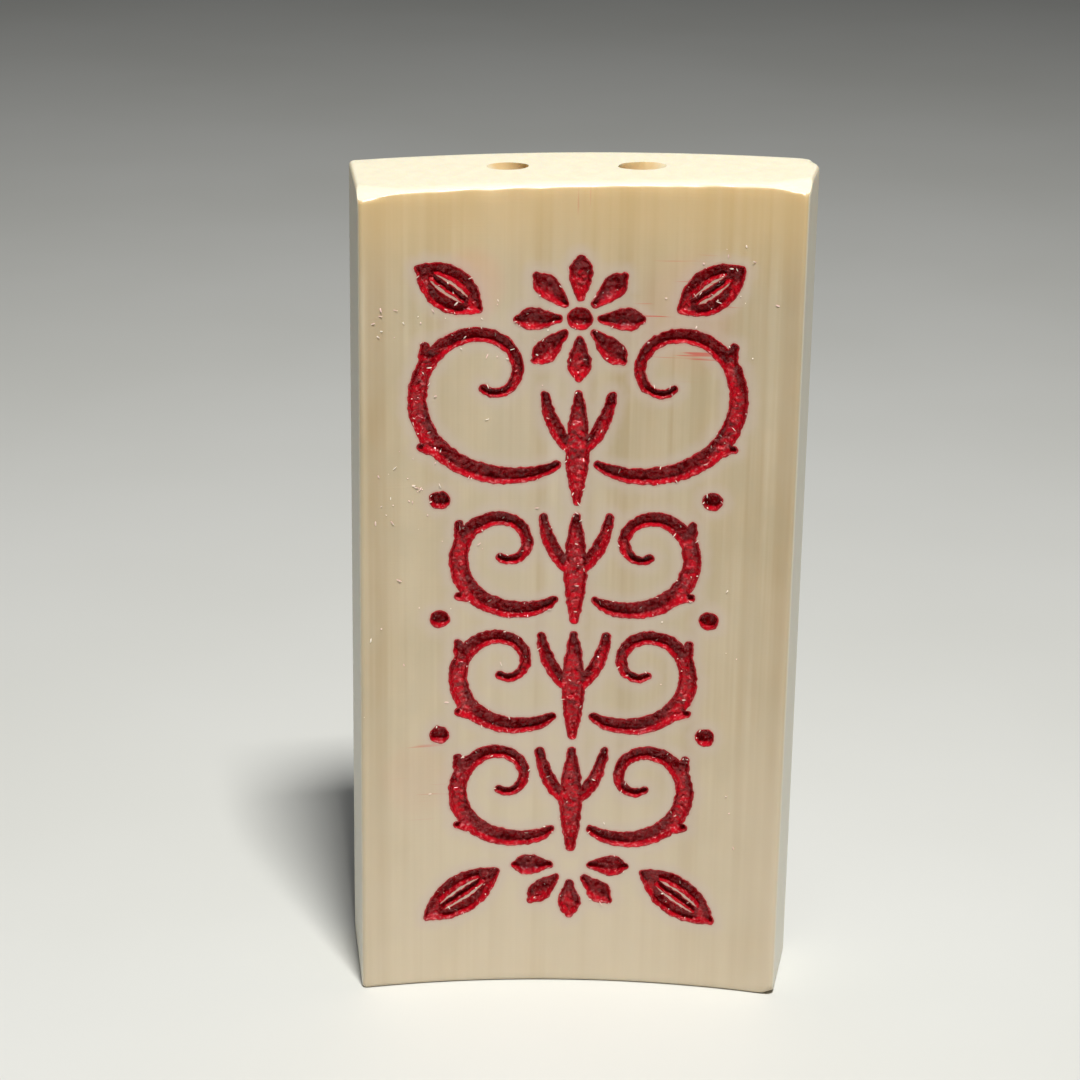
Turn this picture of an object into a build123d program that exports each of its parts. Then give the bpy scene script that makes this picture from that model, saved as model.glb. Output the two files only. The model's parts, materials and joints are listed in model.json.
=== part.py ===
"""Carved tablet: a domino-sized slab sawn from the wall of a tusk, with lacquer in its carving.

The slab keeps the tusk's curve, so its front is hollow and its back is crowned. It stands on its
bottom end: +Z runs up its length, the carved front faces -Y, and the origin is the middle of the
bottom end. Two slanting holes in the top end meet inside, as one channel for a hanging cord. Every
groove of the carving holds its own hardened piece of lacquer. All sizes are in millimetres.
"""

import os
from math import atan2, ceil, cos, hypot, pi, radians, sin, sqrt, tan
from typing import NamedTuple

from build123d import *

# The slab
LENGTH = 50.0  # on the centreline
FRONT_WIDTH = 25.0
THICKNESS = 8.0  # from the bottom of the hollow to the crown of the back
FRONT_RADIUS = 52.5
BACK_RADIUS = 47.5
SIDE_SPLAY = 8.6  # degrees by which each side opens out towards the back
VALLEY_AT_BOTTOM = 1.2  # the hollow is deepest this far right of the centreline
VALLEY_AT_TOP = 3.4
TOP_CUT = 1.35  # degrees by which the top end rises to the right
FRONT_EDGE_ROUND = 0.3
BACK_EDGE_ROUND_LEFT = 0.4
BACK_EDGE_ROUND_RIGHT = 1.6
END_EDGE_ROUND = 0.25

# The cord channel
CORD_BORE = 1.8  # diameter
MOUTH_SPACING = 7.8  # between the middles of the two mouths
MOUTH_OFFSET = -0.5  # the pair sits this far right of the centreline
MOUTH_SETBACK = 4.3  # behind the bottom of the hollow
CORD_SLANT = 40.0  # degrees between each hole and the slab's length

# The grooves and their lacquer
GROOVE_DEPTH = 0.8
FILM_ON_FLOOR = 0.3
FILM_ON_WALL = 0.09
FILM_BELOW_RIM = 0.02  # the lacquer on the walls stops this far short of the front

# The carved field: what is left plain around it
SIDE_MARGIN = 3.5
TOP_MARGIN = 4.3
BOTTOM_MARGIN = 4.6

# The brush marks
TIP_WIDTH = 0.44
FINE_WIDTH = 0.78
BROAD_WIDTH = 1.05
PETAL_WIDTH = 1.3
MARK_STEP = 0.8  # along a mark, between the points that shape its sides

# The motif: a stem of four pieces that grows from a fan of petals and carries a blossom
BLOSSOM_REACH = 3.5  # centre to petal tips
BLOSSOM_HEART = 0.62  # radius of the dot in the middle
BLOSSOM_PETALS = 8
FAN_REACH = 3.3
FAN_PETALS = 5
PETAL_GAP = 0.4  # between the dot and the petals
STEM_PIECES = 4
STEM_GAP = 0.55  # plain strip between two pieces of stem
STEM_SETBACK = 1.2  # from the stem's middle to the foot of a scroll
SCROLL_TURNS = 1.2
SCROLL_EYE = 0.65  # radius at which a scroll ends
BARB_LENGTH = 1.0
LEAF_BELLY = 0.85  # from the leaf's rib to the middle of either side
BERRY_RADIUS = 0.5

# Room around the slab for the solids that trim it
CLEAR = 10.0

os.makedirs("parts", exist_ok=True)

# The hollow's edges, its axis, and the carved field, worked out from the sizes above
half_width = FRONT_WIDTH / 2
edge_y = sqrt(FRONT_RADIUS**2 - half_width**2) - FRONT_RADIUS
splay = tan(radians(SIDE_SPLAY))
field_half_width = half_width - SIDE_MARGIN
field_height = LENGTH - TOP_MARGIN - BOTTOM_MARGIN
blossom_z = LENGTH - TOP_MARGIN - BLOSSOM_REACH
fan_z = BOTTOM_MARGIN + FAN_REACH


class Mark(NamedTuple):
    """One stroke of the carving tool: where it runs, and its width at the tips and the swell."""

    points: list
    tip: float
    broad: float
    swell: float  # below 1 the broadest place is nearer the start, above 1 nearer the end


def hollow(depth):
    """The cylinder of the front's hollow, taken deeper by a distance. It leans with the tusk."""
    lean = Plane(
        origin=(VALLEY_AT_BOTTOM, -FRONT_RADIUS, 0),
        x_dir=(0, 1, 0),
        z_dir=(VALLEY_AT_TOP - VALLEY_AT_BOTTOM, 0, LENGTH),
    )
    return lean * Cylinder(FRONT_RADIUS + depth, 2 * LENGTH + 2 * CLEAR)


def top_plane():
    """The sawn top end, which rises a little to the right."""
    tilt = radians(TOP_CUT)
    across = (cos(tilt), 0, sin(tilt))
    return Plane(origin=(0, 0, LENGTH), x_dir=across, z_dir=(-sin(tilt), 0, cos(tilt)))


def upright_edges(solid):
    """The long edges, from the front two to the back ones."""
    return solid.edges().filter_by(lambda edge: abs((edge % 0.5).Z) > 0.9).sort_by(Axis.Y)


def plain_slab():
    """Splayed sides, crowned back, hollow front, both ends sawn, and every edge eased."""
    front = edge_y - CLEAR
    front_x = half_width - CLEAR * splay
    crown = sqrt(BACK_RADIUS**2 - (half_width + THICKNESS * splay) ** 2)
    corner_y = THICKNESS - BACK_RADIUS + crown
    corner_x = half_width + (corner_y - edge_y) * splay
    sides = Polyline((corner_x, corner_y), (front_x, front), (-front_x, front), (-corner_x, corner_y))
    back = ThreePointArc((-corner_x, corner_y), (0, THICKNESS), (corner_x, corner_y))
    blank = extrude(make_face([*sides.edges(), back]), LENGTH + CLEAR)
    blank = split(blank - hollow(0), top_plane(), keep=Keep.BOTTOM)
    blank = fillet(upright_edges(blank)[2:].sort_by(Axis.X)[0], BACK_EDGE_ROUND_LEFT)
    blank = fillet(upright_edges(blank)[2:].sort_by(Axis.X)[-1], BACK_EDGE_ROUND_RIGHT)
    blank = fillet(upright_edges(blank)[:2], FRONT_EDGE_ROUND)
    ends = blank.faces().filter_by(lambda face: abs(face.normal_at().Z) > 0.9)
    return fillet(ends.edges(), END_EDGE_ROUND)


def cord_hole(side):
    """The drilling on one side, -1 left or 1 right, from past its mouth to where the two meet."""
    tilt = radians(TOP_CUT)
    mouth_x = MOUTH_OFFSET + side * MOUTH_SPACING / 2
    mouth = Vector(mouth_x, MOUTH_SETBACK, LENGTH + mouth_x * tan(tilt))
    run = MOUTH_SPACING / 2 / sin(radians(CORD_SLANT))
    outward = Vector(side * sin(radians(CORD_SLANT)), 0, cos(radians(CORD_SLANT)))
    drill = Plane(origin=mouth - outward * run, z_dir=outward)
    align = (Align.CENTER, Align.CENTER, Align.MIN)
    return drill * Cylinder(CORD_BORE / 2, run + CORD_BORE, align=align) + drill * Sphere(CORD_BORE / 2)


def mark_face(mark, inset):
    """The flat outline of one mark, drawn in from its sides by a distance."""
    line = Spline(*mark.points) if len(mark.points) > 2 else Line(*mark.points)
    count = max(3, ceil(line.length / MARK_STEP))
    left = []
    right = []
    for i in range(count + 1):
        along = i / count
        width = mark.tip + (mark.broad - mark.tip) * sin(pi * along**mark.swell)
        across = (line % along).rotate(Axis.Z, 90) * (width / 2 - inset)
        left.append(line @ along + across)
        right.append(line @ along - across)
    tip = mark.tip / 2 - inset
    nose = line @ 1 + (line % 1) * tip
    tail = line @ 0 - (line % 0) * tip
    return make_face(
        [
            Spline(*left),
            ThreePointArc(left[-1], nose, right[-1]),
            Spline(*right),
            ThreePointArc(right[0], tail, left[0]),
        ]
    )


def prism(marks, inset):
    """One groove's marks as an upright solid that passes through the whole front."""
    outline = Sketch() + [mark_face(mark, inset) for mark in marks]
    return extrude(Plane.XZ * outline, CLEAR, both=True)


def groove(marks):
    """What the carving tool takes out."""
    return prism(marks, 0) & hollow(GROOVE_DEPTH)


def lacquer(marks):
    """The hardened lacquer of one groove: a film on the walls and a thicker one on the floor."""
    bed = prism(marks, 0) & hollow(GROOVE_DEPTH)
    well = prism(marks, FILM_ON_WALL) & hollow(GROOVE_DEPTH - FILM_ON_FLOOR)
    return bed - hollow(FILM_BELOW_RIM) - well


def mirrored(marks):
    """The same marks on the left side."""
    return [mark._replace(points=[(-x, z) for x, z in mark.points]) for mark in marks]


def field(across, up):
    """A place in the carved field: across runs from 0 to 1 at its right side, up from 0 to 1."""
    return (across * field_half_width, BOTTOM_MARGIN + up * field_height)


def petals(centre, reach, first, last, count):
    """Petals around a centre, from the first direction to the last, in degrees."""
    inner = BLOSSOM_HEART + PETAL_GAP + TIP_WIDTH / 2
    found = []
    for i in range(count):
        turn = radians(first + (last - first) * i / (count - 1))
        ends = [(centre[0] + r * cos(turn), centre[1] + r * sin(turn)) for r in (inner, reach)]
        found.append([Mark(ends, TIP_WIDTH, PETAL_WIDTH, 1.4)])
    return found


def dot(centre, radius):
    """A punch mark, a little wider than it is tall."""
    ends = [(centre[0] - radius / 10, centre[1]), (centre[0] + radius / 10, centre[1])]
    return [Mark(ends, 2 * radius, 2 * radius, 1)]


def scroll(foot, eye):
    """A tendril that leaves the stem at its foot, winds round its eye, and carries two barbs."""
    reach = hypot(foot[0] - eye[0], foot[1] - eye[1])
    start = atan2(foot[1] - eye[1], foot[0] - eye[0])
    line = []
    for i in range(13):
        along = i / 12
        radius = SCROLL_EYE + (reach - SCROLL_EYE) * (1 - along) ** 1.6
        turn = start + 2 * pi * SCROLL_TURNS * along
        line.append((eye[0] + radius * cos(turn), eye[1] + radius * sin(turn)))
    marks = [Mark(line, TIP_WIDTH, BROAD_WIDTH, 0.6)]
    for i in (2, 4):
        heading = atan2(line[i + 1][1] - line[i - 1][1], line[i + 1][0] - line[i - 1][0]) - radians(40)
        end = (line[i][0] + BARB_LENGTH * cos(heading), line[i][1] + BARB_LENGTH * sin(heading))
        marks.append(Mark([line[i], end], TIP_WIDTH, FINE_WIDTH, 0.6))
    return marks


def leaf(stalk, tip):
    """A leaf: two curved sides and a rib, which all meet at the stalk and at the tip."""
    rib = Line(stalk, tip)
    belly = (rib % 0.5).rotate(Axis.Z, 90) * LEAF_BELLY
    over = rib @ 0.5 + belly
    under = rib @ 0.5 - belly
    return [
        Mark([stalk, (over.X, over.Y), tip], TIP_WIDTH, FINE_WIDTH, 1),
        Mark([stalk, (under.X, under.Y), tip], TIP_WIDTH, FINE_WIDTH, 1),
        Mark([stalk, tip], TIP_WIDTH, TIP_WIDTH, 1),
    ]


def stem_piece(low, high):
    """One piece of the stem, with a pair of shoots that curve up and out from its lower half."""
    foot = low + TIP_WIDTH / 2
    tall = high - TIP_WIDTH / 2 - foot
    shoot = [(0, foot + 0.45 * tall), (0.14 * tall, foot + 0.6 * tall), (0.3 * tall, foot + tall)]
    right = Mark(shoot, TIP_WIDTH, FINE_WIDTH, 0.8)
    return [Mark([(0, foot), (0, foot + tall)], TIP_WIDTH, PETAL_WIDTH, 1), right, *mirrored([right])]


grooves = {}

blossom = petals((0, blossom_z), BLOSSOM_REACH, 90, 450 - 360 / BLOSSOM_PETALS, BLOSSOM_PETALS)
for number, marks in enumerate(blossom, 1):
    grooves[f"lacquer_blossom_petal_{number}"] = marks
grooves["lacquer_blossom_heart"] = dot((0, blossom_z), BLOSSOM_HEART)
for number, marks in enumerate(petals((0, fan_z), FAN_REACH, 180, 360, FAN_PETALS), 1):
    grooves[f"lacquer_fan_petal_{number}"] = marks

pairs = {
    "leaf_low": leaf(field(0.5, 0.07), field(0.95, 0)),
    "leaf_high": leaf(field(0.64, 0.93), field(1, 0.99)),
}
stem_foot = fan_z + BLOSSOM_HEART
pitch = (blossom_z - BLOSSOM_REACH - STEM_GAP - stem_foot) / STEM_PIECES
lows = [stem_foot + number * pitch + STEM_GAP / 2 for number in range(STEM_PIECES)]
for number, low in enumerate(lows, 1):
    grooves[f"lacquer_stem_{number}"] = stem_piece(low, low + pitch - STEM_GAP)
for number, low in enumerate(lows[:-1], 1):
    foot = (STEM_SETBACK, low + 0.2 * pitch)
    eye = (STEM_SETBACK + 0.38 * pitch, foot[1] + 0.44 * pitch)
    pairs[f"scroll_{number}"] = scroll(foot, eye)
    pairs[f"berry_{number}"] = dot((eye[0] + 0.52 * pitch, eye[1] + 0.42 * pitch), BERRY_RADIUS)
foot = (STEM_SETBACK, lows[-1] + 0.33 * pitch)
pairs["scroll_wide"] = scroll(foot, (field(0.56, 0)[0], foot[1] + 0.7 * pitch))
for name, marks in pairs.items():
    grooves[f"lacquer_{name}_right"] = marks
    grooves[f"lacquer_{name}_left"] = mirrored(marks)

plain = plain_slab()
middle = plain.bounding_box().center()
home = Location((-middle.X, -middle.Y, 0))
cuts = [cord_hole(-1), cord_hole(1), *(groove(marks) for marks in grooves.values())]
export_step(home * (plain - cuts), "parts/tablet.step")
for name, marks in grooves.items():
    export_step(home * lacquer(marks), f"parts/{name}.step")
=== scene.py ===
import json
import math

import bmesh
import bpy
import numpy as np
from mathutils import Matrix, Vector, geometry, kdtree, noise

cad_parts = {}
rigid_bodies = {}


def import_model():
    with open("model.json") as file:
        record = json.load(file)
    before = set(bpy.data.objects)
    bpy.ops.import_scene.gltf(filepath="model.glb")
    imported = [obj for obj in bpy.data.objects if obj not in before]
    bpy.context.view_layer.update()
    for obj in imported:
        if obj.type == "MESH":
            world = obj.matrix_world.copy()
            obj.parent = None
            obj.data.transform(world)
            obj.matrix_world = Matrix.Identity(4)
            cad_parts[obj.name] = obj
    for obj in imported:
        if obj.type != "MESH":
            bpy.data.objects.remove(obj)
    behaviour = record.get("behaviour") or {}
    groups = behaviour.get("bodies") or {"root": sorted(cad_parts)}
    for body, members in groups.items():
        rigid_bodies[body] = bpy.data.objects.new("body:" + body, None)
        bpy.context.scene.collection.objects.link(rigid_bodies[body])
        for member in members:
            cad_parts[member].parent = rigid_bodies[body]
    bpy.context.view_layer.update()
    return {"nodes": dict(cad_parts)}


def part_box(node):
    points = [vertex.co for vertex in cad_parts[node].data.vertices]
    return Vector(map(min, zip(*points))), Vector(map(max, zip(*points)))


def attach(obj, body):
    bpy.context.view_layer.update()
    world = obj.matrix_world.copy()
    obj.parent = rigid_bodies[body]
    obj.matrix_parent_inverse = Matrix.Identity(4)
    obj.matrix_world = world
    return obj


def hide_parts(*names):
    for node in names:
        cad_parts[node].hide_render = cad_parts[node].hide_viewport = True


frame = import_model()


# ---- The slab, before it is carved ----
# One piece sawn from the wall of a tusk. The front keeps the hollow of the tusk's inside, the
# back its crown. Both sides open out towards the back, and both ends are sawn across.

MM = 0.001
LENGTH = 50 * MM
WIDTH = 25 * MM
THICKNESS = 8 * MM
HOLLOW_RADIUS = 52.5 * MM
CROWN_RADIUS = 47.5 * MM
SPLAY = math.radians(8.6)
VALLEY_AT_FOOT = 1.2 * MM
VALLEY_AT_HEAD = 3.4 * MM
HEAD_SLOPE = math.tan(math.radians(1.35))
FRONT_ROUND = 0.3 * MM
BACK_ROUND_LEFT = 0.4 * MM
BACK_ROUND_RIGHT = 1.6 * MM
END_ROUND = 0.25 * MM
END_TURNS = np.radians((18, 36, 54, 72, 90))  # the steps that round the edge of an end
WALL_LEVELS = 126
HAND_WAVE = 0.025 * MM
HAND_WAVE_FADE = 2 * MM  # how far behind the front the waves die out
HAND_WAVE_PITCH = (220, 70)  # across and up the front, to the metre
WELD = 0.001 * MM  # points closer than this become one
SHARP = math.radians(38)  # edges that turn further than this stay sharp
BATCH = 4_000_000  # pairs of points compared at one time

lean = math.cos(math.atan((VALLEY_AT_HEAD - VALLEY_AT_FOOT) / LENGTH))
edge_y = math.sqrt(HOLLOW_RADIUS**2 - (WIDTH / 2) ** 2) - HOLLOW_RADIUS


def valley_x(z):
    """Where the hollow is deepest at a height."""
    return VALLEY_AT_FOOT + (VALLEY_AT_HEAD - VALLEY_AT_FOOT) * z / LENGTH


def hollow_y(x, z):
    """The uncarved front. Its y is 0 along the bottom of the hollow."""
    return np.sqrt(HOLLOW_RADIUS**2 - ((x - valley_x(z)) * lean) ** 2) - HOLLOW_RADIUS


def arc(centre, first, last, count):
    """Points along the short way round a centre, from one point to another."""
    a, b = (math.atan2(*(p - centre)[::-1]) for p in (first, last))
    turn = (b - a + math.pi) % (2 * math.pi) - math.pi
    angles = a + turn * np.linspace(0, 1, count)
    return centre + np.hypot(*(first - centre)) * np.c_[np.cos(angles), np.sin(angles)]


def rounding(side, radius, centre, reach, bend):
    """The rounding where a side meets an arc: from the arc's end to the side's end."""
    along = np.array([side * math.sin(SPLAY), math.cos(SPLAY)])
    inward = np.array([-side * math.cos(SPLAY), math.sin(SPLAY)])
    start = np.array([side * WIDTH / 2, edge_y]) + inward * radius
    lag = (start - centre) @ along
    gap = (start - centre) @ (start - centre)
    middle = start + along * (math.sqrt(lag**2 - gap + reach**2) - lag)
    on_arc = centre + (middle - centre) * bend / reach
    return arc(middle, on_arc, middle - inward * radius, 9)


def outline(z):
    """The slab's sides and back at a height, from the front's left edge round to its right one."""
    hollow_middle = np.array([valley_x(z), -HOLLOW_RADIUS])
    crown_middle = np.array([0, THICKNESS - CROWN_RADIUS])
    halves = []
    for side, back_round in ((-1, BACK_ROUND_LEFT), (1, BACK_ROUND_RIGHT)):
        front = rounding(side, FRONT_ROUND, hollow_middle, HOLLOW_RADIUS + FRONT_ROUND, HOLLOW_RADIUS)
        back = rounding(side, back_round, crown_middle, CROWN_RADIUS - back_round, CROWN_RADIUS)
        flat = np.linspace(front[-1], back[-1], 24)[1:-1]
        halves.append(np.vstack([front, flat, back[::-1]]))
    crown = arc(crown_middle, halves[0][-1], halves[1][-1], 80)[1:-1]
    return np.vstack([halves[0], crown, halves[1][::-1]])


def head_z(x, height):
    """The true height of a level: levels fan out to follow the slope of the sawn top end."""
    return height * (1 + x * HEAD_SLOPE / LENGTH)


def level(height, front_count=72):
    """The whole outline at a level: the sides and back first, then the front from right to left."""
    wall = outline(height)
    x = np.linspace(wall[-1, 0], wall[0, 0], front_count + 2)[1:-1]
    flat = np.vstack([wall, np.c_[x, x]])
    z = head_z(flat[:, 0], height)
    on_front = np.r_[0, len(wall) - 1 : len(flat)]
    flat[on_front, 1] = hollow_y(flat[on_front, 0], z[on_front])
    return np.c_[flat, z], len(wall)


def drawn_in(loop, height, inset):
    """A level's outline drawn in towards the middle, for the eased edges of an end."""
    ahead = np.roll(loop[:, :2], -1, 0) - np.roll(loop[:, :2], 1, 0)
    inward = np.c_[-ahead[:, 1], ahead[:, 0]] / np.hypot(*ahead.T)[:, None]
    flat = loop[:, :2] - inward * inset
    return np.c_[flat, head_z(flat[:, 0], height)]


def turning(loop):
    """Twice the area of a flat loop, more than 0 if it runs anticlockwise."""
    x, y = loop.T
    return x @ np.roll(y, -1) - y @ np.roll(x, -1)


class Shell:
    """Points and faces collected for one mesh."""

    def __init__(self):
        self.points = []
        self.faces = []

    def row(self, points):
        """Add some points, and give their numbers."""
        start = len(self.points)
        self.points.extend(map(tuple, points))
        return list(range(start, len(self.points)))

    def strip(self, one, other, closed):
        """A band of faces between two rows with the same count, joined end to end if closed."""
        for i in range(len(one) if closed else len(one) - 1):
            j = (i + 1) % len(one)
            self.faces.append((one[i], one[j], other[j], other[i]))

    def sheet(self, loose, loops, lift):
        """Triangles over the flat region that closed loops bound, through the loose points in it."""
        loops = [loop if turning(loop) > 0 else loop[::-1] for loop in loops]
        starts = np.cumsum([0, *map(len, loops)])
        bounds = [list(range(start, start + len(loop))) for start, loop in zip(starts, loops)]
        points = [Vector(p) for p in np.vstack([*loops, loose]) / MM]
        spots, _, faces, _, _, covers = geometry.delaunay_2d_cdt(points, [], bounds, 0, 0)
        row = self.row(lift(np.array([tuple(spot) for spot in spots]) * MM))
        self.faces += [tuple(row[i] for i in face) for face, cover in zip(faces, covers) if len(cover) % 2]

    def piece(self, name):
        """One closed piece with rows that meet welded, at its place in the model."""
        mesh = bpy.data.meshes.new(name)
        mesh.from_pydata(hand_worked(np.array(self.points)) + seat, [], self.faces)
        form = bmesh.new()
        form.from_mesh(mesh)
        bmesh.ops.remove_doubles(form, verts=form.verts, dist=WELD)
        bmesh.ops.holes_fill(form, edges=[edge for edge in form.edges if edge.is_boundary], sides=0)
        bmesh.ops.triangulate(form, faces=[face for face in form.faces if len(face.verts) > 4])
        bmesh.ops.recalc_face_normals(form, faces=form.faces)
        form.to_mesh(mesh)
        form.free()
        mesh.shade_smooth()
        mesh.set_sharp_from_angle(angle=SHARP)
        made = bpy.data.objects.new(name, mesh)
        bpy.context.collection.objects.link(made)
        return made


def hand_worked(points):
    """The slight waves that scraping and polishing by hand leave on the front."""
    across, up = HAND_WAVE_PITCH
    waves = [noise.noise(Vector((p[0] * across, 5, p[2] * up))) for p in points]
    front = np.clip(1 - (points[:, 1] - edge_y) / HAND_WAVE_FADE, 0, 1)
    still = np.zeros(len(points))
    return points + np.c_[still, HAND_WAVE * np.array(waves) * front, still]


def inside(points, loop):
    """Which of some flat points lie inside a closed loop."""
    low, high = loop.min(0), loop.max(0)
    found = np.zeros(len(points), bool)
    near = np.flatnonzero(((points > low) & (points < high)).all(1))
    ends = np.roll(loop, -1, 0)
    for part in np.array_split(near, 1 + len(near) * len(loop) // BATCH):
        x, y = points[part, 0:1], points[part, 1:2]
        crossing = (loop[:, 1] > y) != (ends[:, 1] > y)
        rise = np.where(ends[:, 1] == loop[:, 1], 1, ends[:, 1] - loop[:, 1])
        hit = x < loop[:, 0] + (y - loop[:, 1]) / rise * (ends[:, 0] - loop[:, 0])
        found[part] = (crossing & hit).sum(1) % 2 == 1
    return found


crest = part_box("tablet")
widest = outline(LENGTH / 2)[:, 0]
seat = np.array([crest[1].x - widest.max(), crest[1].y - THICKNESS, 0])

slab = Shell()
levels = np.linspace(END_ROUND, LENGTH - END_ROUND, WALL_LEVELS)
walls = []
for height in levels:
    loop, wall_count = level(height)
    walls.append(loop[:wall_count])
rows = [slab.row(wall) for wall in walls]
for one, other in zip(rows, rows[1:]):
    slab.strip(one, other, False)
ends = {}
for name, height, sign in (("foot", END_ROUND, -1), ("head", LENGTH - END_ROUND, 1)):
    loop = level(height)[0]
    ends[name] = [loop]
    for turn in END_TURNS:
        inset = END_ROUND * (1 - math.cos(turn))
        ends[name].append(drawn_in(loop, height + sign * END_ROUND * math.sin(turn), inset))
    rings = [slab.row(ring) for ring in ends[name]]
    for one, other in zip(rings, rings[1:]):
        slab.strip(*((one, other) if sign > 0 else (other, one)), True)


# ---- The cord channel ----
# Two holes drilled from the top end with a small hand drill, slanting towards each other until
# they meet. The drill wandered as it started, so the mouths are chipped and the right one is wide.

BORE_RADIUS = 0.9 * MM
MOUTH_SPACING = 7.8 * MM
MOUTH_OFFSET = -0.5 * MM
MOUTH_SETBACK = 4.3 * MM
SLANT = math.radians(40)
RING_POINTS = 48
CHIPS = {-1: 0.03 * MM, 1: 0.09 * MM}  # how far the left and the right mouth are chipped
CHIP_PITCHES = (1600, 4000)  # coarse and fine, to the metre
CHIP_DEPTH = 0.4  # mm
ROW_SPACING = 0.866  # between the rows of a grid of even triangles, as a share of its step
HEAD_STEP = 0.3 * MM
FOOT_STEP = 0.8 * MM

mouths = []
turns = np.linspace(0, 2 * math.pi, RING_POINTS, endpoint=False)[:, None]
meeting_z = head_z(MOUTH_OFFSET, LENGTH) - MOUTH_SPACING / 2 / math.tan(SLANT)
meeting = np.array([MOUTH_OFFSET, MOUTH_SETBACK, meeting_z]) + BORE_RADIUS * (
    np.sin(turns) * (0, 1, 0) - np.cos(turns) / math.sin(SLANT) * (0, 0, 1)
)
for side in (-1, 1):
    out = np.array([side * math.sin(SLANT), 0, math.cos(SLANT)])
    across = np.array([side * math.cos(SLANT), 0, -math.sin(SLANT)])
    mouth_x = MOUTH_OFFSET + side * MOUTH_SPACING / 2
    middle = np.array([mouth_x, MOUTH_SETBACK, head_z(mouth_x, LENGTH)])
    ring = middle + BORE_RADIUS * (np.cos(turns) * across + np.sin(turns) * (0, 1, 0))
    reach = (head_z(ring[:, 0], LENGTH) - ring[:, 2]) / (out[2] - HEAD_SLOPE * out[0])
    ring += reach[:, None] * out
    coarse, fine = ([noise.noise(Vector(p * pitch)) for p in ring] for pitch in CHIP_PITCHES)
    ragged = np.array(coarse) + 0.6 * np.array(fine)
    away = ring - middle
    away /= np.linalg.norm(away, axis=1)[:, None]
    second_start = np.clip(-away[:, 0] * side, 0, 1) ** 3 * CHIPS[side] * 2
    lip = ring + away * (CHIPS[side] * (1 + ragged) + second_start)[:, None]
    lip[:, 2] = head_z(lip[:, 0], LENGTH)
    throat = ring - out * CHIP_DEPTH * MM + away * (0.4 * second_start)[:, None]
    rings = [slab.row(points) for points in (lip, throat, (throat + meeting) / 2, meeting)]
    for one, other in zip(rings, rings[1:]):
        slab.strip(one, other, True)
    mouths.append(lip[:, :2])


def grid(rim, step):
    """Loose points a step apart over a rim's box, every second row shifted by half a step."""
    low, high = rim.min(0), rim.max(0)
    rows = np.arange(low[1], high[1], step * ROW_SPACING)
    columns = np.arange(low[0], high[0], step)
    return np.vstack(
        [np.c_[columns + (i % 2) * step / 2, np.full(len(columns), y)] for i, y in enumerate(rows)]
    )


def clear_of(points, loops, gap):
    """The points that are further than a gap from every point of the loops."""
    kept = np.ones(len(points), bool)
    for loop in loops:
        low, high = loop.min(0) - gap, loop.max(0) + gap
        near = np.flatnonzero(((points > low) & (points < high)).all(1))
        for part in np.array_split(near, 1 + len(near) * len(loop) // BATCH):
            distance = np.hypot(*(points[part, None] - loop[None]).transpose(2, 0, 1)).min(1)
            kept[part] &= distance > gap
    return points[kept]


def within(points, loops, gap):
    """The points inside the region that loops bound, and a gap away from its rims."""
    covered = np.zeros(len(points), bool)
    for loop in loops:
        covered ^= inside(points, loop)
    return clear_of(points[covered], loops, gap)


head_rims = [ends["head"][-1][:, :2], *mouths]
loose = within(grid(head_rims[0], HEAD_STEP), head_rims, 0.12 * MM)
slab.sheet(loose, head_rims, lambda p: np.c_[p, head_z(p[:, 0], LENGTH)])
foot_rim = ends["foot"][-1][:, :2]
loose = within(grid(foot_rim, FOOT_STEP), [foot_rim], 0.3 * MM)
slab.sheet(loose, [foot_rim], lambda p: np.c_[p, np.zeros(len(p))])


# ---- The carving ----
# Grooves cut by hand with a small gouge. The cuts follow the drawn lines, but their rims are
# ragged, because the gouge chatters in material this hard.

GROOVE_DEPTH = 0.8 * MM
CUT_STEP = 0.085 * MM
WALL_LEAN = 0.06 * MM
LEAN_LIMIT = 0.3  # the share of a groove's half-width that its wall may lean in
CHATTER = ((1.3, 0.035 * MM), (3.1, 0.06 * MM), (6.5, 0.035 * MM))  # ridges to the mm, and size
CHATTER_LIMIT = 0.4  # the share of a groove, or of the land beside it, that a rim may cross
BED_FIT = 0.003 * MM
RIM_ROWS = (0.09, 0.24)  # mm outside a rim, where rows of points follow it
FRONT_STEP = 0.4 * MM
CLEAR_OF_ROWS = 0.06 * MM
CLEAR_OF_EDGES = 0.2 * MM
CLEAR_OF_RIMS = 0.36 * MM


def groove_loops(node):
    """The outlines of the groove that a CAD piece of lacquer lies in, read from its underside."""
    mesh = frame["nodes"][node].data
    points = np.array([v.co for v in mesh.vertices]) - seat
    mesh.calc_loop_triangles()
    corners = np.array([t.vertices for t in mesh.loop_triangles])
    points, welded = np.unique(np.round(points, 7), axis=0, return_inverse=True)
    corners = welded.ravel()[corners]
    x, y, z = points.T
    depth = np.hypot((x - valley_x(z)) * lean, y + HOLLOW_RADIUS) - HOLLOW_RADIUS
    bed = corners[(depth[corners] > GROOVE_DEPTH - BED_FIT).all(1)]
    directed = {(a, b) for face in bed for a, b in zip(face, np.roll(face, -1)) if a != b}
    following = {a: b for a, b in directed if (b, a) not in directed}
    loops = []
    while following:
        first, here = following.popitem()
        loop = [first]
        while here != first:
            loop.append(here)
            here = following.pop(here)
        loops.append(points[loop][:, [0, 2]])
    return loops


def evenly(loop, step):
    """The same closed loop with its points a step apart."""
    closed = np.vstack([loop, loop[:1]])
    run = np.r_[0, np.cumsum(np.hypot(*np.diff(closed, axis=0).T))]
    marks = np.linspace(0, run[-1], max(12, round(run[-1] / step)), endpoint=False)
    return np.c_[np.interp(marks, run, closed[:, 0]), np.interp(marks, run, closed[:, 1])]


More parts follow.
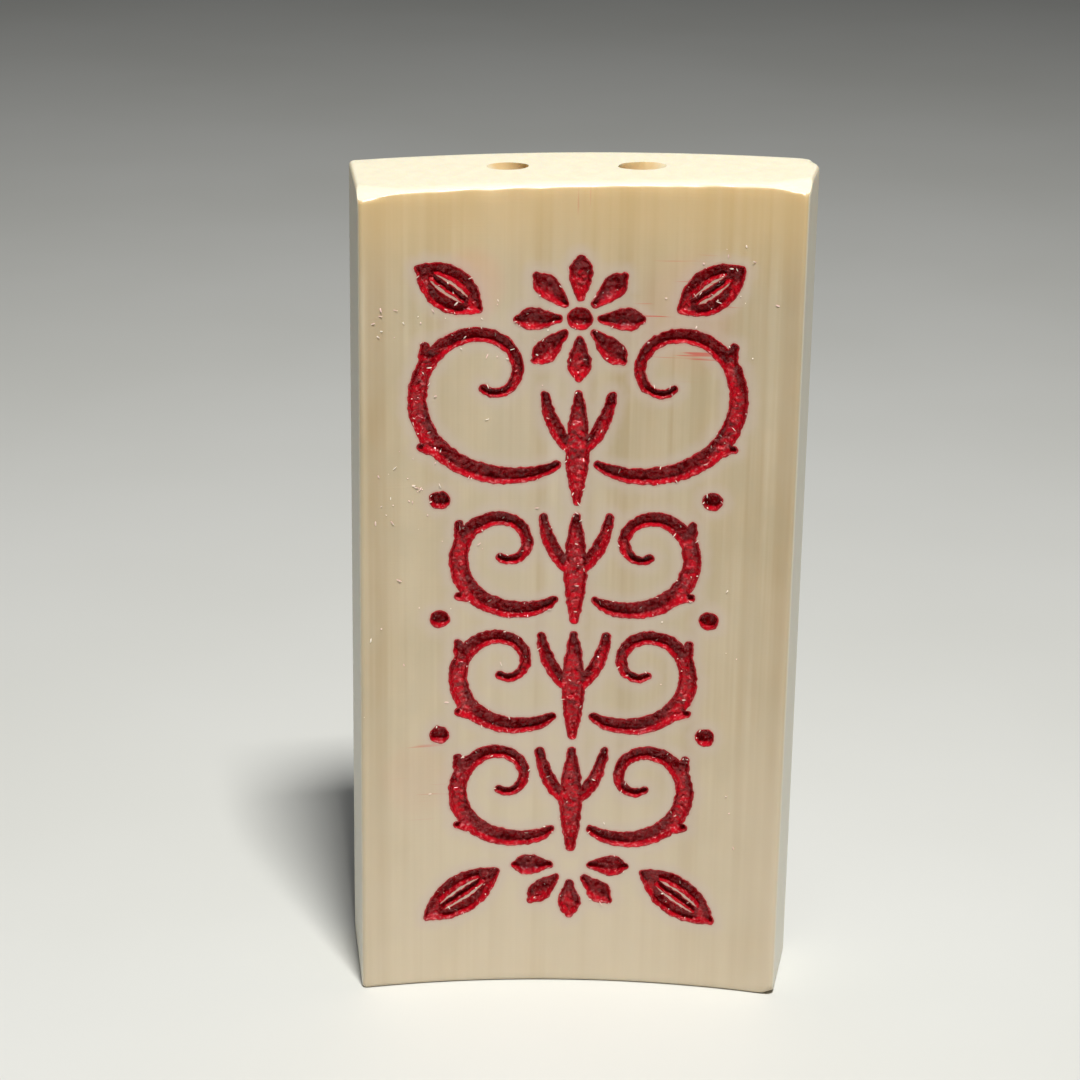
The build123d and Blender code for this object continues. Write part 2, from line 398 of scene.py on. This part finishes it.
def half_width(loop, inward, groove):
    """Half the distance from each point of a loop, straight into the groove, to its far wall."""
    starts = np.vstack(groove)
    edge = np.vstack([np.roll(other, -1, 0) for other in groove]) - starts
    gap = starts[None] - (loop + inward * 0.02 * MM)[:, None]
    cross = inward[:, :1] * edge[:, 1] - inward[:, 1:] * edge[:, 0]
    cross[abs(cross) < 1e-12] = 1e-12
    along = (gap[..., 0] * edge[:, 1] - gap[..., 1] * edge[:, 0]) / cross
    where = (gap[..., 0] * inward[:, 1:] - gap[..., 1] * inward[:, :1]) / cross
    along[(along < 0) | (where < 0) | (where > 1)] = 1
    half = along.min(1) / 2
    return np.minimum.reduce([np.roll(half, i) for i in (-2, -1, 0, 1, 2)])


def ripple(points, per_mm, seed):
    """Smooth random values from -1 to 1 over flat points."""
    spot = Vector((seed * 7.3, seed * 3.1, seed))
    return np.array([noise.noise(Vector((*p, 0)) * per_mm / MM + spot) for p in points])


def behind_front(flat, depth):
    """Flat points put on the front, or a depth behind it."""
    return np.c_[flat[:, 0], hollow_y(*flat.T) + depth, flat[:, 1]]


grooves = {}
for node in sorted(frame["nodes"]):
    if node == "tablet":
        continue
    drawn = [evenly(loop, CUT_STEP) for loop in groove_loops(node)]
    grooves[node] = []
    for loop in drawn:
        ahead = np.roll(loop, -2, 0) - np.roll(loop, 2, 0)
        inward = np.c_[ahead[:, 1], -ahead[:, 0]] / np.hypot(*ahead.T)[:, None]
        half = half_width(loop, inward, drawn)
        land = half_width(loop, -inward, drawn)
        wander = sum(size * ripple(loop, pitch, i) for i, (pitch, size) in enumerate(CHATTER))
        wander = np.clip(wander, -half * CHATTER_LIMIT, land * CHATTER_LIMIT)
        grooves[node].append((loop - inward * wander[:, None], inward, half, land))

sills = [ring[wall_count:][:, [0, 2]] for ring in (ends["foot"][0], ends["head"][0])]
left, right = (np.array([wall[i, [0, 2]] for wall in walls]) for i in (0, -1))
front_rim = np.vstack([left, sills[1][::-1], right[::-1], sills[0]])
rims = [rim for groove in grooves.values() for rim, inward, half, land in groove]
beside = []
for groove in grooves.values():
    for rim, inward, half, land in groove:
        near, far = RIM_ROWS
        beside += [rim - inward * near * MM, (rim - inward * far * MM)[::2]]
beside = within(np.vstack(beside), [front_rim, *rims], CLEAR_OF_ROWS)
loose = within(grid(front_rim, FRONT_STEP), [front_rim, *rims], CLEAR_OF_EDGES)
loose = clear_of(loose, rims, CLEAR_OF_RIMS)
slab.sheet(np.vstack([loose, beside]), [front_rim, *rims], lambda p: behind_front(p, 0))
for groove in grooves.values():
    feet = []
    for rim, inward, half, land in groove:
        feet.append(rim + inward * np.minimum(WALL_LEAN, half * LEAN_LIMIT)[:, None])
        wall = (behind_front(rim, 0), behind_front(feet[-1], GROOVE_DEPTH))
        slab.strip(*map(slab.row, wall), True)
    slab.sheet(np.empty((0, 2)), feet, lambda p: behind_front(p, GROOVE_DEPTH))
tablet = slab.piece("carved_slab")


# ---- The slab's surface ----
# Polished ivory or bone with fine streaks that run the length of the tusk, and a painted glow near the top
# standing in for light passing through it. The lacquer has bled a little grey-pink into the rims of the cuts.

WORN_FACETS = (  # three points on each flat that handling has worn at a corner
    ((9.2, -3.8, 50.22), (12.75, -1.6, 50.3), (12.44, -4.35, 49.72)),
    ((-10.2, -4.3, 49.76), (-12.75, -3.0, 49.7), (-12.52, -4.8, 49.35)),
    ((11.4, -4.1, 0.0), (12.75, -3.1, 0.0), (12.45, -4.35, 0.5)),
    ((12.6, 4.2, 50.3), (13.45, 1.2, 50.32), (13.4, 2.9, 49.8)),
)
FACET_ROUGHNESS = 0.04  # mm
EDGE_WEAR_REACH = 0.7 * MM
EDGE_WEAR = 0.1  # mm
EDGE_WEAR_WAVES = 0.09  # mm more or less
HALO_REACH = 3.0  # mm

vertices = tablet.data.vertices
places = np.array([v.co for v in vertices])
middle = np.array([0, 0, LENGTH / 2])
for facet in WORN_FACETS:
    a, b, c = np.array(facet) * MM
    normal = np.cross(b - a, c - a)
    normal *= np.sign((a - middle) @ normal) / np.linalg.norm(normal)
    over = (places - a) @ normal
    rough = np.array([noise.noise(Vector(p * 900)) for p in places]) * FACET_ROUGHNESS * MM
    places -= np.clip(over + rough * (over > 0), 0, None)[:, None] * normal
x, y, z = (places - seat).T
from_edge = np.hypot(y - hollow_y(x, z), z - head_z(x, LENGTH))
rubbed = np.clip(1 - from_edge / EDGE_WEAR_REACH, 0, 1)
wavy = np.array([noise.noise(Vector((p[0] * 700, 3, 0))) for p in places])
places += (rubbed * (EDGE_WEAR + EDGE_WEAR_WAVES * wavy) * MM)[:, None] * (0, 0.7, -0.7)
vertices.foreach_set("co", places.ravel())


def distance_from(loops):
    """A function of a flat point that gives its distance from the nearest point of the loops."""
    tree = kdtree.KDTree(sum(len(loop) for loop in loops))
    for i, spot in enumerate(np.vstack(loops)):
        tree.insert((*spot, 0), i)
    tree.balance()
    return lambda x, z: tree.find((x, z, 0))[2]


from_cuts = distance_from(rims)
reach = tablet.data.attributes.new("off_cut", "FLOAT", "POINT")
gaps = []
for x, y, z in places - seat:
    gaps.append(min(from_cuts(x, z) / MM, HALO_REACH) if y < hollow_y(x, z) + 0.1 * MM else HALO_REACH)
reach.data.foreach_set("value", gaps)


class Wire:
    """A socket's value, which grows Math nodes when it is used in an expression."""

    def __init__(self, finish, socket):
        self.finish = finish
        self.socket = socket

    def math(self, operation, *others):
        """The value after one Math node, with any other values as its further inputs."""
        inputs = dict(enumerate((self, *others)))
        return self.finish.add("ShaderNodeMath", {"operation": operation}, inputs)

    def __add__(self, other):
        return self.math("ADD", other)

    def __radd__(self, other):
        return self.math("ADD", other)

    def __sub__(self, other):
        return self.math("SUBTRACT", other)

    def __rsub__(self, other):
        return self.finish.add("ShaderNodeMath", {"operation": "SUBTRACT"}, {0: other, 1: self})

    def __mul__(self, other):
        return self.math("MULTIPLY", other)

    def __rmul__(self, other):
        return self.math("MULTIPLY", other)

    def __abs__(self):
        return self.math("ABSOLUTE")

    def step(self, low, high):
        """0 below low, 1 above high, and an even rise between; the other way round if low is higher."""
        values = {"Value": self, "From Min": low, "From Max": high}
        return self.finish.add("ShaderNodeMapRange", {"interpolation_type": "SMOOTHSTEP"}, values)


class Finish:
    """A material under construction, with one way to add a node to it."""

    def __init__(self, name, **steady):
        self.material = bpy.data.materials.new(name)
        self.material.use_nodes = True
        self.nodes = self.material.node_tree.nodes
        self.links = self.material.node_tree.links
        self.shader = self.nodes["Principled BSDF"]
        for socket, value in steady.items():
            self.shader.inputs[socket.replace("_", " ")].default_value = value
        place = self.add("ShaderNodeTexCoord", output="Object")
        self.mm = self.add("ShaderNodeVectorMath", {"operation": "SCALE"}, {0: place, "Scale": 1 / MM})
        x, y, z = (self.add("ShaderNodeSeparateXYZ", inputs={0: self.mm}, output=axis) for axis in "XYZ")
        self.x, self.y, self.z = x, y, z

    def add(self, kind, settings=None, inputs=None, output=0):
        """One node: its settings first, then the values or links of its sockets."""
        node = self.nodes.new(kind)
        for name, value in (settings or {}).items():
            setattr(node, name, value)
        for name, value in (inputs or {}).items():
            if isinstance(name, str):
                socket = next(s for s in node.inputs if s.enabled and s.name == name)
            else:
                socket = node.inputs[name]
            self.feed(socket, value)
        sockets = [s for s in node.outputs if s.enabled]
        return Wire(self, sockets[output] if isinstance(output, int) else node.outputs[output])

    def feed(self, socket, value):
        """Give a socket a value, or link it."""
        if isinstance(value, Wire):
            self.links.new(value.socket, socket)
        else:
            socket.default_value = value

    def grain(self, stretch, pitch=1.0, detail=2.0, shift=0.0):
        """Soft noise about 0.5, stretched by three numbers along x, y and z, with a pitch per mm."""
        values = {0: self.mm, 1: stretch, 2: (shift,) * 3}
        spot = self.add("ShaderNodeVectorMath", {"operation": "MULTIPLY_ADD"}, values)
        return self.add("ShaderNodeTexNoise", inputs={"Vector": spot, "Scale": pitch, "Detail": detail})

    def mixed(self, amount, one, other):
        """One colour turning into another."""
        return self.add("ShaderNodeMix", {"data_type": "RGBA"}, {"Factor": amount, "A": one, "B": other})

    def near(self, centre, size):
        """1 at a spot on the front, given as x and z in mm, falling to 0 at its edge."""
        dx = (self.x - centre[0]) * (1 / size[0])
        dz = (self.z - centre[1]) * (1 / size[1])
        return (dx * dx + dz * dz).step(1, 0.2)

    def bump(self, height, strength, distance, under=None):
        """A surface raised by a height, on top of another raised surface if there is one."""
        inputs = {"Height": height, "Strength": strength, "Distance": distance}
        if under:
            inputs["Normal"] = under
        return self.add("ShaderNodeBump", inputs=inputs, output="Normal")


def paint(red, green, blue):
    """A colour mixed on the usual 0 to 255 scale, for a shader."""
    return (*(((c / 255 + 0.055) / 1.055) ** 2.4 for c in (red, green, blue)), 1)


ivory = Finish(
    "polished_ivory",
    Subsurface_Weight=0.12,
    Subsurface_Radius=(1.6 * MM, 0.9 * MM, 0.45 * MM),
    Subsurface_Scale=1.0,
    IOR=1.54,
)
broad = ivory.grain((0.55, 0.5, 0.012), detail=3.0).step(0.34, 0.66)
fine = ivory.grain((1.5, 0.9, 0.02), detail=2.0, shift=11.0).step(0.32, 0.68)
hair = ivory.grain((5, 3, 0.09), detail=2.0, shift=23.0).step(0.3, 0.7)
blotch = ivory.grain((0.5, 0.5, 0.3), detail=3.0, shift=37.0).step(0.36, 0.66)
cloud = ivory.grain((0.2, 0.2, 0.12), detail=2.0, shift=31.0).step(0.35, 0.65)
tone = ivory.mixed(broad, paint(198, 180, 147), paint(180, 158, 122))
tone = ivory.mixed(fine * 0.52, tone, paint(214, 200, 172))
tone = ivory.mixed(hair * 0.16, tone, paint(176, 150, 112))
tone = ivory.mixed(blotch * 0.38, tone, paint(180, 166, 136))
core = abs(ivory.x).step(8, 1) * broad.step(1.0, 0.2)
tone = ivory.mixed(core * 0.3, tone, paint(200, 187, 168))
pale = ivory.z.step(32, 0)
tone = ivory.mixed(pale * 0.55 + cloud * 0.2, tone, paint(214, 199, 175))
# painted glow: warmer colour near the top, standing in for light passing through the ivory
painted_glow = ivory.z.step(43, 50)
tone = ivory.mixed(painted_glow * 0.6, tone, paint(222, 188, 128))
off_cut = ivory.add("ShaderNodeAttribute", {"attribute_name": "off_cut"}, output="Fac")
wander = (ivory.grain((1, 1, 1), 1.4, shift=5.0) - 0.5) * 0.5
halo = (off_cut + wander).step(0.95, 0.15)
tone = ivory.mixed(halo * 0.5, tone, paint(203, 185, 174))
bleed = (off_cut + wander * 0.3).step(0.22, 0.0)
tone = ivory.mixed(bleed * 0.45, tone, paint(190, 120, 110))
scratch = ivory.grain((0.1, 0.2, 4.2), 1.0, detail=3.0, shift=3.0).step(0.615, 0.66)
scuffed = ivory.near((6.2, 42.6), (3.4, 4.2)) + ivory.near((-9.0, 13.8), (2.6, 3.0)) * 0.7
scuffed = scuffed * ivory.y.step(-1.2, -2.0)
tone = ivory.mixed(scratch * scuffed * 0.9, tone, paint(204, 84, 70))
tone = ivory.mixed(scuffed * 0.12, tone, paint(214, 140, 120))
nick = ivory.grain((2.4, 1, 0.12), 1.0, detail=2.0, shift=41.0).step(0.62, 0.7)
nicks = ivory.near((8.1, 16.6), (1.2, 3.0)) + ivory.near((7.9, 7.3), (1.0, 2.0))
nicks = nicks + ivory.near((0.1, 49.6), (1.4, 1.6))
tone = ivory.mixed(nick * nicks * 0.55, tone, paint(206, 112, 96))
tone = ivory.mixed(ivory.near((-6.0, 44.2), (2.2, 2.6)) * 0.16, tone, paint(226, 140, 120))
face = ivory.add("ShaderNodeTexCoord", output="Normal")
painted_reflection_side, up = (ivory.add("ShaderNodeSeparateXYZ", inputs={0: face}, output=axis) for axis in "XZ")
# painted reflection: the sides, seen at a grazing angle, made paler and greyer as if reflecting the bright
# table
tone = ivory.mixed(abs(painted_reflection_side).step(0.55, 0.95) * 0.75, tone, paint(240, 236, 219))
# painted highlight: the top end made paler and whiter, as if lit strongly from above
tone = ivory.mixed(up.step(0.45, 0.95) * ivory.z.step(48.5, 49.5), tone, paint(238, 230, 205))
ivory.feed(ivory.shader.inputs["Base Color"], tone)
ivory.feed(ivory.shader.inputs["Roughness"], 0.36 + fine * 0.08 + halo * 0.06 - painted_glow * 0.04)
saw = ivory.grain((0.25, 0.6, 14), 1.0, detail=2.0, shift=7.0)
wave = ivory.bump(saw, 0.16, 0.03 * MM)
wave = ivory.bump(fine, 0.12, 0.03 * MM, wave)
ivory.feed(ivory.shader.inputs["Normal"], wave)
tablet.data.materials.append(ivory.material)
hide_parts("tablet")
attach(tablet, "root")


# ---- The lacquer ----
# Thick red lacquer pressed into each groove and wiped off the front. It skinned over lumpy on the
# floors, took the ridges of the gouge on the walls, and left a thin ragged lip round each rim.

FLOOR_DEPTH = 0.46 * MM
FLOOR_BANK = 0.14 * MM
BED_GAP = 0.004 * MM
SKIN = (  # how far in from the rim, how much the gouge's ridges move it, and how deep
    (0.012, 0.0, -0.006),
    (0.055, 0.02, 0.05),
    (0.085, 0.035, 0.2),
    (0.115, 0.04, 0.34),
    (0.19, 0.05, 0.44),
)
SKIN_LIMIT = 0.65  # the share of a groove's half-width that the skin may reach
LIP_WIDTH = 0.055  # mm
LIP_RAGGEDNESS = 0.05  # mm more or less
LIP_LEAST = 0.012  # mm
LIP_HEIGHT = 0.012  # mm
LIP_WAVES = 0.008  # mm more or less
LUMPS = ((1.7, 0.1), (3.4, 0.15), (6.5, 0.08))  # lumps to the mm, and height in mm
FLOOR_STEP = 0.1 * MM
CLEAR_OF_BRINKS = 0.06 * MM

red = Finish(
    "red_lacquer",
    Specular_IOR_Level=0.32,
    Coat_Weight=0.25,
    Coat_Roughness=0.04,
    Subsurface_Weight=0.15,
    Subsurface_Radius=(0.5 * MM, 0.05 * MM, 0.05 * MM),
    Subsurface_Scale=1.0,
)
pool = red.grain((1, 1, 1), 1.3, detail=2.0).step(0.35, 0.65)
speck = red.grain((1, 1, 1), 4.5, detail=3.0, shift=9.0).step(0.55, 0.68)
shade = red.mixed(pool, paint(186, 13, 30), paint(154, 6, 21))
shade = red.mixed(speck * 0.5, shade, paint(216, 112, 114))
red.feed(red.shader.inputs["Base Color"], shade)
red.feed(red.shader.inputs["Roughness"], 0.12 + speck * 0.14)
skin = red.bump(red.grain((1, 1, 1), 4.5, detail=3.0, shift=2.0), 1.0, 0.16 * MM)
red.feed(red.shader.inputs["Normal"], skin)


def lacquer_piece(name, groove):
    """The lacquer in one groove: lip, skin down the walls, lumpy floor and hidden underside."""
    shell = Shell()
    brinks = []
    beds = []
    for rim, inward, half, land in groove:
        ragged = ripple(rim, 2.3, 3)
        ridges = ripple(rim, 4.2, 4)
        lip = (LIP_WIDTH + LIP_RAGGEDNESS * ragged).clip(LIP_LEAST) * MM
        lip = np.minimum(lip, land * 0.5)
        rows = [
            behind_front(rim - inward * lip[:, None], 0),
            behind_front(rim - inward * (lip * 0.5)[:, None], -(LIP_HEIGHT + LIP_WAVES * ragged) * MM),
        ]
        for inset, ridge, depth in SKIN:
            reach = np.minimum((inset + ridge * ridges) * MM, half * SKIN_LIMIT)
            brink = rim + inward * reach[:, None]
            rows.append(behind_front(brink, depth * MM))
        bed = rim + inward * (np.minimum(WALL_LEAN, half * LEAN_LIMIT) + BED_GAP)[:, None]
        top = behind_front(rim + inward * BED_GAP, 0)
        rows = [behind_front(bed, GROOVE_DEPTH - BED_GAP), top, *rows]
        rows = [shell.row(row) for row in rows]
        for one, other in zip(rows, rows[1:]):
            shell.strip(one, other, True)
        brinks.append(brink)
        beds.append(bed)
    loose = within(grid(brinks[0], FLOOR_STEP), brinks, CLEAR_OF_BRINKS)
    from_brinks = distance_from(brinks)

    def floor(flat):
        """The lumpy floor, which banks up from the skin's lowest edge."""
        lumps = sum(size * ripple(flat, pitch, i) for i, (pitch, size) in enumerate(LUMPS)) * MM
        start = SKIN[-1][2] * MM
        rise = np.array([min(from_brinks(*spot) / FLOOR_BANK, 1) for spot in flat])
        return behind_front(flat, start + rise * (FLOOR_DEPTH - start + lumps))

    shell.sheet(loose, brinks, floor)
    shell.sheet(np.empty((0, 2)), beds, lambda p: behind_front(p, GROOVE_DEPTH - BED_GAP))
    return shell.piece(name)


for node, groove in grooves.items():
    piece = lacquer_piece(node.replace("lacquer", "red"), groove)
    piece.data.materials.append(red.material)
    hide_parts(node)
    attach(piece, "root")


# ---- Lint and shavings ----
# Short pale fibres and shavings left from polishing. They stick to the lacquer, and a few lie on
# the front, mostly in loose clusters.

CLUSTERS = (  # x and z of the middle, spread and count
    (-10.2, 32.5, 1.5, 26),
    (-10.4, 42.0, 1.6, 9),
    (-6.2, 41.0, 2.2, 24),
    (8.6, 42.8, 1.6, 9),
    (8.4, 45.6, 0.8, 7),
    (-11.4, 25.0, 5.0, 14),
    (11.0, 30.0, 8.0, 9),
    (0.0, 25.0, 11.0, 34),
)
FIBRES_ON_LACQUER = 230
FIBRE_SHAPE = ((-0.5, 0.4), (-0.2, 1), (0.2, 0.9), (0.5, 0.3))  # place along it, and thickness
FIBRE_CORNERS = ((1, 1), (-1, 1), (-1, -1), (1, -1))

chance = np.random.default_rng(11)
lint = Shell()


def fibre(spot, length, width):
    """One short bent fibre with a square section, thinner at its ends."""
    heading, tilt = chance.uniform(0, 2 * math.pi), chance.normal(0, 0.25)
    lying = math.cos(tilt)
    along = np.array([math.cos(heading) * lying, -math.sin(tilt), math.sin(heading) * lying])
    across = np.array([-math.sin(heading), 0, math.cos(heading)])
    out = np.cross(along, across)
    bend = chance.uniform(0, 0.15) * length
    rows = []
    for place, thick in FIBRE_SHAPE:
        centre = spot + along * place * length - abs(out) * (0, 1, 0) * bend * (1 - 4 * place**2)
        corners = [across * a * width / 2 + out * b * width / 4 for a, b in FIBRE_CORNERS]
        rows.append(lint.row([centre + corner * thick for corner in corners]))
    for one, other in zip(rows, rows[1:]):
        lint.strip(one, other, True)
    lint.faces += [tuple(rows[0][::-1]), tuple(rows[-1])]


for x, z, spread, count in CLUSTERS:
    flat = chance.normal((x, z), spread, (count, 2)) * MM
    flat = flat[(abs(flat[:, 0]) < 0.49 * WIDTH) & (flat[:, 1] > MM) & (flat[:, 1] < LENGTH - MM)]
    for spot in behind_front(flat, -0.015 * MM):
        fibre(spot, chance.uniform(0.1, 0.5) ** 1.4 * MM, chance.uniform(0.04, 0.09) * MM)
skins = [bpy.data.objects[node.replace("lacquer", "red")].data for node in grooves]
skin_spots = np.vstack([[v.co for v in skin.vertices] for skin in skins]) - seat
x, y, z = skin_spots.T
depth = y - hollow_y(x, z)
skin_spots = skin_spots[(depth > -0.01 * MM) & (depth < 0.62 * MM)]
for spot in skin_spots[chance.choice(len(skin_spots), FIBRES_ON_LACQUER, replace=False)]:
    fibre(spot - (0, 0.03 * MM, 0), chance.uniform(0.06, 0.3) * MM, chance.uniform(0.03, 0.07) * MM)
lint_piece = lint.piece("lint")
pale = Finish("pale_fibre", Roughness=0.35)
pale_spot = pale.grain((1, 1, 1), 1.5).step(0.4, 0.6)
pale.feed(pale.shader.inputs["Base Color"], pale.mixed(pale_spot, paint(250, 240, 224), paint(238, 205, 196)))
lint_piece.data.materials.append(pale.material)
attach(lint_piece, "root")


# ---- The table, the lamps and the camera ----
# The tablet stands on a plain pale table top. One small lamp hangs high in front of it and a
# little to the right, a wide weak one hangs over its back, and the room gives a little light.

TABLE_REACH = 2.0

table_mesh = bpy.data.meshes.new("table_top")
corners = [(x * TABLE_REACH, y * TABLE_REACH, 0) for x, y in ((-1, -1), (1, -1), (1, 1), (-1, 1))]
table_mesh.from_pydata(corners, [], [(0, 1, 2, 3)])
table = bpy.data.objects.new("table_top", table_mesh)
bpy.context.collection.objects.link(table)
paper = Finish("pale_paper", Roughness=0.6)
mottle = paper.grain((0.02, 0.02, 0.02), detail=3.0).step(0.3, 0.7)
paper.feed(paper.shader.inputs["Base Color"], paper.mixed(mottle, paint(214, 215, 212), paint(210, 211, 207)))
table_mesh.materials.append(paper.material)


def lamp(name, spot, aim, size, power, colour, beam):
    """A rectangular lamp at a spot, turned to its aim, with its beam's full angle in degrees."""
    light = bpy.data.lights.new(name, "AREA")
    light.shape = "RECTANGLE"
    light.size, light.size_y = size
    light.energy = power
    light.spread = math.radians(beam)
    light.color = colour
    holder = bpy.data.objects.new(name, light)
    holder.location = spot
    holder.rotation_euler = (Vector(aim) - Vector(spot)).to_track_quat("-Z", "Y").to_euler()
    holder.visible_camera = False
    bpy.context.collection.objects.link(holder)


lamp("window", (0.043, -0.184, 0.434), (0.0, -0.01, 0.025), (0.07, 0.07), 0.63, (1.0, 0.985, 0.95), 90)
lamp("ceiling", (0.0, 0.03, 0.36), (0.0, 0.03, 0.0), (0.3, 0.3), 0.12, (0.96, 0.98, 1.0), 140)
world = bpy.data.worlds.new("room")
bpy.context.scene.world = world
world.use_nodes = True
world.node_tree.nodes["Background"].inputs["Color"].default_value = (0.9, 0.95, 1.0, 1)
world.node_tree.nodes["Background"].inputs["Strength"].default_value = 0.02
bpy.context.scene.view_settings.view_transform = "Standard"

DISTANCE = 174.52 * MM
AIM = Vector((-2.014, -2.840, 28.778)) * MM
RISE, SWING, ROLL = (math.radians(angle) for angle in (20.171, 1.558, 0.856))

back = Vector((math.sin(SWING) * math.cos(RISE), -math.cos(SWING) * math.cos(RISE), math.sin(RISE)))
level_x = Vector((0, 0, 1)).cross(back).normalized()
level_y = back.cross(level_x)
camera_x = level_x * math.cos(ROLL) + level_y * math.sin(ROLL)
camera_y = level_y * math.cos(ROLL) - level_x * math.sin(ROLL)
eye = bpy.data.cameras.new("camera")
eye.lens = 100
eye.sensor_width = 36
eye.clip_start = 0.01
camera = bpy.data.objects.new("camera", eye)
camera.matrix_world = Matrix((camera_x, camera_y, back)).transposed().to_4x4()
camera.location = AIM + back * DISTANCE
bpy.context.collection.objects.link(camera)
bpy.context.scene.camera = camera
